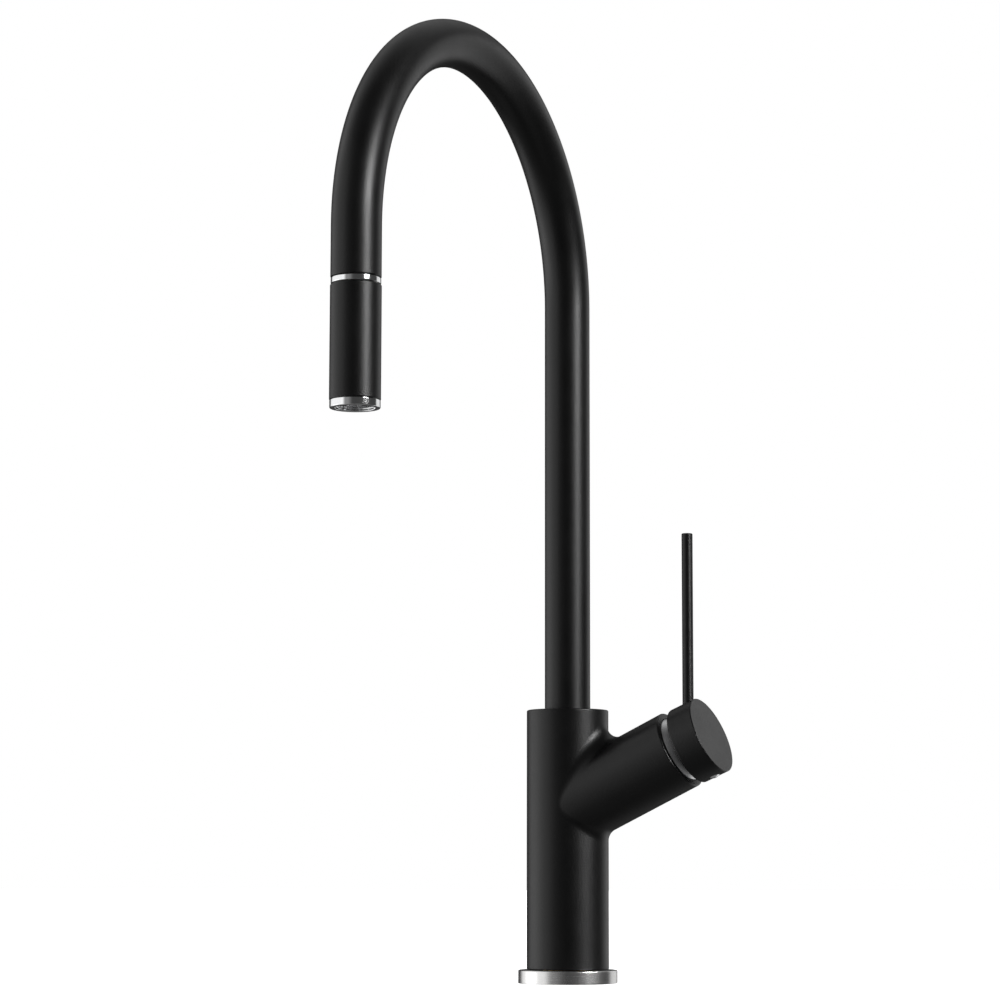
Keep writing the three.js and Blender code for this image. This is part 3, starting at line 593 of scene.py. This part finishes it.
def body_casting():
    """The body, the branch and the fillet between them. The wall's rays carry on over the fillet and along
    the branch, so the whole outside is one grid; the ends and bores are turned."""
    low = BODY_FOOT + 0.9
    high = BODY_TOP - 1.2
    opening = Opening(BODY_RADIUS, BRANCH, BRANCH_RADIUS, BRANCH_BLEND)
    across, upright, rows = 128, 48, 36
    wall, angle = pierced_wall(opening, math.pi, low, high, across, upright, rows)
    fillet = opening.fillet(angle, 12)[1:]
    _, foot = opening.ball(angle)
    plain = BRANCH_LENGTH - 3
    end = rounded(
        (BRANCH_RADIUS, plain),
        (BRANCH_RADIUS, BRANCH_LENGTH, 0.8),
        (BRANCH_BORE, BRANCH_LENGTH, 0.3),
        (BRANCH_BORE, BRANCH_SEAT, 0.5),
        (0, BRANCH_SEAT),
    )
    t = np.linspace(0, 1, 13)[1:, None]
    arm = BRANCH.point(BRANCH_RADIUS, angle, foot + t * (plain - foot))
    mouth = with_edge(BRANCH.point(end[1:, 0, None], angle, end[1:, 1, None]), end[1:, 2, None])
    outside = np.concatenate([with_edge(wall), with_edge(fillet), with_edge(arm), mouth])
    inside = rounded(
        (BODY_RADIUS, high),
        (BODY_RADIUS, BODY_TOP, 0.8),
        (SOCKET_RADIUS, BODY_TOP, 0.3),
        (SOCKET_RADIUS, SOCKET_FLOOR),
        (HOSE_WAY, SOCKET_FLOOR),
        (HOSE_WAY, SHANK_CEILING),
        (SHANK_RADIUS + GAP, SHANK_CEILING),
        (SHANK_RADIUS + GAP, BODY_FOOT, 0.3),
        (BODY_RADIUS, BODY_FOOT, 0.6),
        (BODY_RADIUS, low),
    )
    ends = turned(BODY, inside, across, -math.pi, math.pi)
    make("body_casting_coated", [outside, ends], "black_coat", "mixer_body", "body_casting")


def base_and_clamp():
    bottom, top = levels("base_ring")
    outer = radius_of("base_ring")
    bore = SHANK_RADIUS + 2 * GAP
    gasket_outer = radius_of("base_gasket")
    gasket_inner = 19.5
    gasket_low, gasket_top = levels("base_gasket")
    ring = rounded(
        (outer, bottom, 0.3),
        (outer, top, 0.7),
        (bore, top, 0.3),
        (bore, bottom, 0.2),
        (gasket_inner - GAP, bottom, 0.1),
        (gasket_inner - GAP, gasket_top + GAP),
        (gasket_outer + GAP, gasket_top + GAP),
        (gasket_outer + GAP, bottom, 0.1),
        closed=True,
    )
    make("base_ring_brushed", [turned(BODY, ring, 128)], "brushed_metal", "mixer_body", "base_ring")
    gasket = sleeve(gasket_inner, gasket_outer, gasket_low, gasket_top, 0.3)
    make("base_gasket_ring", [turned(BODY, gasket)], "rubber", "mixer_body", "base_gasket")
    washer_bore = SHANK_RADIUS + GAP
    for node, slot, bend in (("rubber_washer", "rubber", 0.7), ("clamp_washer", "steel", 0.4)):
        outline = sleeve(washer_bore, radius_of(node), *levels(node), bend)
        make(node + "_turned", [turned(BODY, outline)], slot, "mixer_body", node)


def threaded_shank():
    """A tube with a screw thread: its outer radius falls by depth x (1 + cos(turns)) / 2, where the turns
    are the height over the pitch less the angle, and fades out at both ends."""
    bottom, top = levels("shank")
    pitch, depth, bore, sides = 1.5, 0.5, 14.8, 72
    first, last = bottom + 0.8, top - 14
    angle = np.linspace(0, TURN, sides + 1)
    height = np.arange(first, last, pitch / 8)[:, None]
    fade = np.clip((height - bottom - 1) / 2, 0, 1) * np.clip((last - height) / 3, 0, 1)
    wave = 0.5 + 0.5 * np.cos(TURN * height / pitch - angle)
    radius = SHANK_RADIUS - depth * (1 - fade) * 0.6 - depth * wave * fade
    thread = with_edge(BODY.point(radius, angle, height), (1 - wave) * fade)
    ends = (
        (SHANK_RADIUS - 0.3, top, 0.4), (bore, top, 0.3),
        (bore, bottom, 0.3), (SHANK_RADIUS - 0.5, bottom, 0.5),
    )
    upper = rounded((0, 0), *ends, (0, 0))[1:-1]
    rest = turned(BODY, upper, sides)
    shell = np.concatenate([rest, thread, rest[:1]])
    make("shank_threaded", [shell], "brass", "mixer_body", "shank")


def clamp_nut():
    """A six-sided nut: the radius at an angle is half the flats over cos(angle from the flat's middle), held
    under a cone towards each end face."""
    bottom, top = levels("shank_nut")
    half_flats = (corners("shank_nut")[1][1] - corners("shank_nut")[0][1]) / 2
    bore = SHANK_RADIUS + GAP
    crown = half_flats - 0.5  # radius of the end faces
    slope, sides = 2.2, 96
    angle = np.linspace(0, TURN, sides + 1)
    hexagon = half_flats / np.cos(angle % (TURN / 6) - TURN / 12)
    lift = np.array([0, 0.15, 0.5, 0.9, 1.3, 1.7])[:, None]
    height = np.vstack([bottom + lift, top - lift[::-1]])
    cone = crown + slope * np.minimum(height - bottom, top - height)
    side = BODY.point(np.minimum(hexagon, cone), angle, height)
    ends = rounded((crown, top), (bore, top, 0.4), (bore, bottom, 0.4), (crown, bottom))
    shell = np.concatenate([with_edge(side), turned(BODY, ends, sides)])
    make("shank_nut_hexagon", [shell], "brass", "mixer_body", "shank_nut")


def tails():
    inner, outer = 2.8, 3.9
    for name in ("outlet_tail", "hot_tail", "cold_tail"):
        low, high = corners(name)
        middle = (low + high) / 2
        outline = sleeve(inner, outer, low[2], high[2], 0.3)
        axis = Axis((middle[0], middle[1], 0))
        make(name + "_drawn", [turned(axis, outline, 48)], "copper", "mixer_body", name)


# Spout ----------------------------------------------------------------------------------------------------

def spout_tube():
    """The gooseneck: a wall outline of (radius, distance along the centre line) carried round it."""
    length = ARCH_HEIGHT - TUBE_FOOT + math.pi * ARCH_RADIUS + ARCH_HEIGHT - MOUTH
    rise = ARCH_HEIGHT - TUBE_FOOT
    inner = TUBE_RADIUS - TUBE_WALL
    arch = rise + np.linspace(0, math.pi * ARCH_RADIUS, 121)
    end = 4  # length of each end that holds its roundings
    straight = np.linspace(end, rise, 25)[:-1]
    outer_run = np.concatenate([straight, arch])
    inner_run = np.concatenate([straight[::6], arch[::4]])[::-1]
    mouth = rounded(
        (TUBE_RADIUS, length - end), (TUBE_RADIUS, length, 0.45), (inner, length, 0.45), (inner, length - end)
    )
    foot = rounded((inner, end), (inner, 0, 0.3), (TUBE_RADIUS, 0, 0.3), (TUBE_RADIUS, end))
    rows = np.vstack([
        np.stack([np.full(len(outer_run), TUBE_RADIUS), outer_run, outer_run * 0], -1),
        mouth,
        np.stack([np.full(len(inner_run), inner), inner_run, inner_run * 0], -1),
        foot,
    ])
    angle = np.linspace(0, TURN, 81)
    points = over_the_arch(TUBE_FOOT, rows[:, 1, None], rows[:, 0, None], angle)
    make("spout_tube_bent", [with_edge(points, rows[:, 2, None])], "black_coat", "spout", "spout_tube")


def swivel_bush():
    low, high = levels("upper_swivel_bush")
    outline = sleeve(TUBE_RADIUS + GAP, SOCKET_RADIUS - GAP, low, high - 0.2, 0.25)
    make("upper_swivel_bush_ring", [turned(BODY, outline)], "dark_plastic", "mixer_body", "upper_swivel_bush")
    low, high = levels("dock_bush")
    outer, wall = TUBE_RADIUS - TUBE_WALL - GAP, 1.4
    outline = sleeve(outer - wall, outer, low, high, 0.4)
    make("dock_bush_ring", [turned(HEAD, outline, 64)], "dark_plastic", "spout", "dock_bush")


# Hose -----------------------------------------------------------------------------------------------------

HOSE_RADIUS = 5.0


def hose():
    """Three lengths of one braided hose: up through the body, over the arch, and down to the head."""
    angle = np.linspace(0, TURN, 49)
    around = angle / TURN

    def closed_run(low, high, rows):
        """Distances along a hose length with its two ends closed to their middles."""
        run = np.linspace(low, high, rows)
        run = np.concatenate([[low], run, [high]])[:, None]
        radius = np.full_like(run, HOSE_RADIUS)
        radius[[0, -1]] = 0
        return run, radius

    def laid(points, run):
        around_all, along = np.broadcast_arrays(around, run)
        extra = np.stack([np.zeros_like(along), around_all, along], -1)
        return np.concatenate([points, extra], -1)

    low, high = levels("hose_riser")
    run, radius = closed_run(low, high, 20)
    riser = laid(BODY.point(radius, angle, run), run)
    laid_out = ("around", "along")
    make("hose_riser_braided", [riser], "hose_braid", "mixer_body", "hose_riser", attributes=laid_out)
    foot = levels("hose_arch")[0]
    total = ARCH_HEIGHT - foot + math.pi * ARCH_RADIUS + GAP
    run, radius = closed_run(0, total, 120)
    arch = laid(over_the_arch(foot, run, radius, angle), run)
    make("hose_arch_braided", [arch], "hose_braid", "spout", "hose_arch", attributes=laid_out)
    low, high = levels("hose_drop")
    run, radius = closed_run(low, high, 40)
    drop = with_edge(HEAD.point(radius, angle, run))
    piece = make("hose_drop_braided", [drop], "hose_braid", None, "hose_drop", material="hose_braid_drop")
    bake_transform(piece)


# Spray head -----------------------------------------------------------------------------------------------

def spray_head():
    shell_low, shell_high = levels("spray_shell")
    shell_radius = radius_of("spray_shell")
    shell_wall = 1.5
    bore = shell_radius - shell_wall
    shell = rounded(
        (shell_radius, shell_low, 0.35), (shell_radius, shell_high, 0.7), (bore, shell_high, 0.2),
        (bore, shell_low, 0.2), closed=True,
    )
    low, high = levels("dock_ring")
    ring_radius = radius_of("dock_ring")
    ring_bore = 9.5
    dock = rounded(
        (ring_radius, low, 0.45), (ring_radius, high, 0.45), (ring_bore, high, 0.3), (ring_bore, low, 0.3),
        closed=True,
    )
    low, top = levels("aerator_ring")
    outer = radius_of("aerator_ring")
    mouth, lip = 9.9, 0.8
    seat, spigot = shell_low - GAP, bore - GAP
    lip_top, lip_foot, lip_root = low + 2.3, low + 1.3, low + 1.1
    aerator = rounded(
        (outer, low, 0.5), (outer, seat, 0.25), (spigot, seat), (spigot, top, 0.3), (mouth, top, 0.3),
        (mouth, lip_top), (mouth - lip, lip_top, 0.2), (mouth - lip, lip_foot, 0.2), (mouth, lip_root),
        (mouth, low, 0.4), closed=True,
    )
    low, high = levels("hose_ferrule")
    outer, groove, inner = 6.4, 6.1, 5.3
    above, middle, below = 3.6, 4.2, 4.8  # the crimp's heights from each end
    ferrule = rounded(
        (outer, low, 0.3), (outer, low + above, 0.4), (groove, low + middle, 0.4), (outer, low + below, 0.4),
        (outer, high - below, 0.4), (groove, high - middle, 0.4), (outer, high - above, 0.4),
        (outer, high, 0.5), (inner, high, 0.2), (inner, low, 0.2), closed=True,
    )
    for name, node, outline, slot, body in (
        ("spray_shell_coated", "spray_shell", shell, "black_coat", "spray_head"),
        ("dock_ring_polished", "dock_ring", dock, "chrome", "spray_head"),
        ("aerator_ring_polished", "aerator_ring", aerator, "chrome", "spray_head"),
        ("hose_ferrule_crimped", "hose_ferrule", ferrule, "steel", "hose_end"),
    ):
        make(name, [turned(HEAD, outline, 96)], slot, body, node)


def aerator_insert():
    """A cup whose rim is cut into lugs: the rim's underside rises by the slot's depth where the angle is
    within half a slot of an eighth of a turn."""
    low, high = levels("aerator_insert")
    radius, rim, hollow = 9.6, 2.0, 3.2
    lugs, width, depth, first = 8, 3.8, 2.2, math.radians(37)
    angle = np.linspace(0, TURN, lugs * 24 + 1)
    pitch = TURN / lugs
    away = np.abs((angle - first + pitch / 2) % pitch - pitch / 2)
    base = low + depth / (1 + (away / math.asin(width / 2 / radius)) ** 18)

    def ring(r, height):
        return HEAD.point(np.full_like(angle, r), angle, np.broadcast_to(height, angle.shape))

    rows = [
        ring(0, high), ring(radius - 0.3, high), ring(radius, high - 0.3), ring(radius, base + 0.25),
        ring(radius - 0.25, base), ring(radius - rim + 0.25, base), ring(radius - rim, base + 0.25),
        ring(radius - rim, low + hollow), ring(0, low + hollow),
    ]
    make("aerator_insert_lugged", [with_edge(np.stack(rows))], "chrome", "spray_head", "aerator_insert")


def aerator_screen():
    """Woven gauze: wires at an even pitch both ways, each a fine tube whose middle rises and falls by a
    cosine of the distance along it and whose ends close to a point on the gauze's circle."""
    low, high = levels("aerator_screen")
    reach = radius_of("aerator_screen") - 0.1
    pitch, wire, weave = 0.62, 0.13, 0.14
    level = (low + high) / 2
    offsets = np.arange(-int(reach / pitch), int(reach / pitch) + 1)
    run = np.linspace(-1, 1, 70)[:, None]
    angle = np.linspace(0, TURN, 6)
    thickness = np.where(np.abs(run) < 1, wire, 0)
    patches = []
    for number in offsets:
        across = number * pitch
        half = math.sqrt(max(reach ** 2 - across ** 2, 0.01))
        along = half * run
        for sign, axis in ((1, Axis(HEAD.origin)), (-1, Axis(HEAD.origin, start=(0, 1, 0)))):
            rise = sign * weave * np.cos(math.pi * (along / pitch + number + 0.5))
            x, y, z = np.broadcast_arrays(
                along, across + thickness * np.cos(angle), level + rise + thickness * np.sin(angle)
            )
            patches.append(with_edge(axis.place(np.stack([x, y, z], -1))))
    make("aerator_screen_woven", patches, "steel", "spray_head", "aerator_screen")


# Handle ---------------------------------------------------------------------------------------------------

LEVER_LEAN = math.pi / 2 - KNOB_TILT  # between the lever and the knob's axis


def knob():
    """A round knob with two holes in its side: one under it for the plug and one on top for the lever. Each
    half of the side is a pierced wall, and each hole runs in to a flat floor. The back is hollow."""
    low, high = KNOB_BACK + 1.3, KNOB_FACE - 0.8
    plug_axis = Axis((0, 0, PLUG_PLACE), (1, 0, 0), (0, 0, 1))
    lean = (-math.sin(LEVER_LEAN), 0, math.cos(LEVER_LEAN))
    lever_axis = Axis((-KNOB_RADIUS, 0, LEVER_FOOT), lean, (math.cos(LEVER_LEAN), 0, math.sin(LEVER_LEAN)))
    holes = (
        (Opening(KNOB_RADIUS, plug_axis, PLUG_RADIUS + GAP), KNOB_RADIUS - PLUG_HEIGHT - GAP),
        (Opening(KNOB_RADIUS, lever_axis, LEVER_RADIUS + GAP, facing=math.pi), -LEVER_DEPTH - GAP),
    )
    patches = []
    for opening, floor in holes:
        wall, angle = pierced_wall(opening, math.pi / 2, low, high, 64, 16, 14)
        _, mouth = opening.ball(angle)
        t = np.linspace(0, 1, 5)[1:, None]
        bore = opening.axis.point(opening.radius, angle, mouth + t * (floor - mouth))
        middle = opening.axis.point(0.0, angle, floor)[None]
        grid = np.concatenate([wall, bore, middle])
        patches.append(with_edge(HANDLE.place(grid)))
    face = rounded((KNOB_RADIUS, high), (KNOB_RADIUS, KNOB_FACE, 0.5), (0, KNOB_FACE))
    hollow = math.sqrt(DOME_RADIUS ** 2 - KNOB_BACK ** 2) + DOME_CLEARANCE
    floor = KNOB_BACK + 3.2
    back = rounded(
        (KNOB_RADIUS, low), (KNOB_RADIUS, KNOB_BACK, 0.9), (hollow, KNOB_BACK, 0.4), (hollow, floor, 0.4),
        (0, floor),
    )
    for outline in (face, back):
        patches.append(turned(HANDLE, outline, 128, -math.pi / 2, 1.5 * math.pi))
    make("knob_coated", patches, "black_coat", "handle", "knob")


def lever_and_plug():
    foot = HANDLE.place(np.array([-KNOB_RADIUS, 0, LEVER_FOOT]))
    lean = -math.sin(LEVER_LEAN) * HANDLE.start + math.cos(LEVER_LEAN) * HANDLE.along
    axis = Axis(foot, lean, (0, 1, 0))
    low, high = -LEVER_DEPTH, LEVER_REACH
    outline = rounded((0, low), (LEVER_RADIUS, low, 0.3), (LEVER_RADIUS, high, 0.6), (0, high))
    make("lever_coated", [turned(axis, outline, 48)], "black_coat", "handle", "lever")
    seat = HANDLE.place(np.array([KNOB_RADIUS - PLUG_HEIGHT, 0, PLUG_PLACE]))
    axis = Axis(seat, HANDLE.start, HANDLE.along)
    top = PLUG_HEIGHT + 0.6
    t = np.linspace(0, 1, 9)
    dome = np.stack([PLUG_RADIUS * (1 - t) ** 0.6, top - 0.9 * (1 - t) ** 1.2, np.zeros(9)], -1)
    outline = np.vstack([[[0, 0, 0], [PLUG_RADIUS, 0, 0]], dome])
    make("screw_plug_polished", [turned(axis, outline, 48)], "chrome", "handle", "screw_plug")


def trim_cap():
    """The domed cap that closes the branch round the handle's stem. Its dome is a zone of a ball about the
    pivot: the radius at a height is the root of the ball's radius squared less the height squared."""
    foot, top, mouth, wall = 0.6, 13.0, 8.0, 1.1

    def dome(ball, heights):
        return np.stack([np.sqrt(ball ** 2 - heights ** 2), heights, np.zeros_like(heights)], -1)

    heights = np.linspace(PIVOT_DEPTH, top, 14)
    outline = np.vstack([
        [[CAP_RADIUS, foot, 0]],
        dome(DOME_RADIUS, heights),
        rounded((14.0, top), (mouth, top, 0.3), (mouth, top - wall, 0.2), (13.0, top - wall))[1:-1],
        dome(DOME_RADIUS - wall, heights[::-1] - wall),
        [[CAP_RADIUS - wall, foot, 0], [CAP_RADIUS, foot, 0]],
    ])
    outline[:, 1] += PIVOT_PLACE
    make("trim_cap_polished", [turned(BRANCH, outline, 96)], "chrome", "mixer_body", "trim_cap",
         material="satin_chrome")


# Pieces that stay as they are in the solid model ------------------------------------------------------------

kept = {
    "brass": ("cartridge_nut", "spout_foot", "hose_fitting", "hose_nipple"),
    "steel": (
        "swivel_stop_screw", "pivot_pin", "stem", "knob_grub_screw", "inlet_filter", "check_valve_spring",
    ),
    "rubber": (
        "outlet_tail_seal", "hot_tail_seal", "cold_tail_seal", "outlet_port_seal", "hot_port_seal",
        "cold_port_seal", "friction_ring", "hose_washer", "aerator_seal",
    ),
    "pale_plastic": (
        "cartridge_housing", "disc_carrier", "rotor", "thrust_washer", "check_valve_body", "head_core",
    ),
    "dark_plastic": ("cartridge_base", "check_valve_poppet"),
    "ceramic": ("fixed_disc", "moving_disc"),
}


def dress_kept_nodes():
    for slot, names in kept.items():
        for name in names:
            mesh = frame["nodes"][name].data
            mesh.materials.clear()
            mesh.materials.append(finishes[slot])


# Studio ---------------------------------------------------------------------------------------------------

CAMERA_PLACE = np.array([0.6916, -1.4444, 0.0588])
HEADING = math.radians(26.923)
PITCH = math.radians(7.322)
ROLL = math.radians(0.113)
LENS = 104.75
AHEAD = np.array([-math.sin(HEADING), math.cos(HEADING), 0])
RIGHT = np.array([math.cos(HEADING), math.sin(HEADING), 0])
UP = np.array([0, 0, 1.0])


def camera():
    forward = math.cos(PITCH) * AHEAD + math.sin(PITCH) * UP
    upward = math.cos(PITCH) * UP - math.sin(PITCH) * AHEAD
    across = math.cos(ROLL) * RIGHT + math.sin(ROLL) * upward
    upward = math.cos(ROLL) * upward - math.sin(ROLL) * RIGHT
    columns = np.stack([across, upward, -forward, CAMERA_PLACE], -1)
    data = bpy.data.cameras.new("camera")
    data.lens = LENS
    data.sensor_width = 36
    data.clip_end = 100
    view = bpy.data.objects.new("camera", data)
    view.matrix_world = Matrix([*columns.tolist(), [0, 0, 0, 1]])
    bpy.context.scene.collection.objects.link(view)
    bpy.context.scene.camera = view


def panel(bearing, height, sides, ends, soft):
    """1 inside a panel of the room and 0 outside it. Its sides are bearings in degrees to the right of the
    way the camera looks, its ends are elevations in degrees, and its edges fade over the soft angle."""
    left, right = (math.radians(side) for side in sides)
    low, high = (math.sin(math.radians(end)) for end in ends)
    fade = math.radians(soft)
    across = bearing.between(left - fade, left + fade) * (1 - bearing.between(right - fade, right + fade))
    upright = height.between(low - fade, low + fade) * (1 - height.between(high - fade, high + fade))
    return across * upright


def studio():
    """A dim room with a broad white panel on the left, a tall soft box to the right of the camera, a low
    panel behind on the right and a little light from overhead. The camera itself sees plain white."""
    scene = bpy.context.scene
    scene.view_settings.view_transform = "Standard"
    world = bpy.data.worlds.new("studio")
    scene.world = world
    sky = Shade(world)
    look = sky.add("ShaderNodeTexCoord", out="Generated")
    ahead, right = (
        sky.add("ShaderNodeVectorMath", {"operation": "DOT_PRODUCT"}, {0: look, 1: tuple(way)}, out="Value")
        for way in (AHEAD, RIGHT)
    )
    bearing = sky.add("ShaderNodeMath", {"operation": "ARCTAN2"}, {0: right, 1: ahead})
    height = sky.parts(look)[2]
    panels = (
        panel(bearing, height, (-130, -44), (-42, 40), 9) * 1.0,  # the white wall on the left
        panel(bearing, height, (-160, -124), (-42, 50), 14) * 0.2,  # its nearer end, turned away
        panel(bearing, height, (-100, -66), (-16, 3), 5) * 1.1,  # a low lamp in front of it
        panel(bearing, height, (115, 138), (13, 30), 1.5) * 28.0,  # the soft box
        panel(bearing, height, (24, 66), (-42, 28), 6) * 0.75,  # the panel behind on the right
        panel(bearing, height, (-90, 60), (36, 80), 8) * 0.45,  # overhead
        panel(bearing, height, (-175, 175), (-85, -46), 8) * 0.16,  # the floor's glow
    )
    light = 0.055
    for share in panels:
        light = share + light
    seen = sky.add("ShaderNodeLightPath", out="Is Camera Ray")
    strength = light * (1 - seen) + seen
    backdrop = sky.add("ShaderNodeBackground", None, {"Color": (1.0, 1.0, 1.0, 1.0), "Strength": strength})
    sky.add("ShaderNodeOutputWorld", None, {"Surface": backdrop})

    floor_material = bpy.data.materials.new("pale_floor")
    shade = Shade(floor_material)
    place = shade.coordinates()
    fleck = shade.noise(place, 60.0, 3.0)
    shade.surface({
        "Base Color": shade.mix(fleck, (0.86, 0.86, 0.86), (0.9, 0.9, 0.9)),
        "Roughness": 0.8 + clear(fleck, 0.05),
        "Emission Color": (1.0, 1.0, 1.0, 1.0),
        "Emission Strength": 1.0,
    })
    finishes["pale_floor"] = floor_material
    hole, edge = SHANK_RADIUS + 0.4, 9000
    outline = np.array([[hole, 0, 0], [60, 0, 0], [400, 0, 0], [edge, 0, 0]])
    grid = turned(Axis((0, 0, -0.05)), outline, 64)
    mesh = bpy.data.meshes.new("floor")
    count = grid.shape[1]
    index = np.arange(len(grid) * count).reshape(len(grid), count)
    faces = np.stack([index[:-1, :-1], index[1:, :-1], index[1:, 1:], index[:-1, 1:]], -1).reshape(-1, 4)
    mesh.from_pydata((grid.reshape(-1, 4)[:, :3] * MM).tolist(), [], faces.tolist())
    mesh.materials.append(floor_material)
    floor = bpy.data.objects.new("floor", mesh)
    floor.visible_glossy = False
    floor.visible_diffuse = False
    scene.collection.objects.link(floor)


camera()
studio()
body_casting()
base_and_clamp()
threaded_shank()
clamp_nut()
tails()
spout_tube()
swivel_bush()
hose()
spray_head()
aerator_insert()
aerator_screen()
knob()
lever_and_plug()
trim_cap()
dress_kept_nodes()
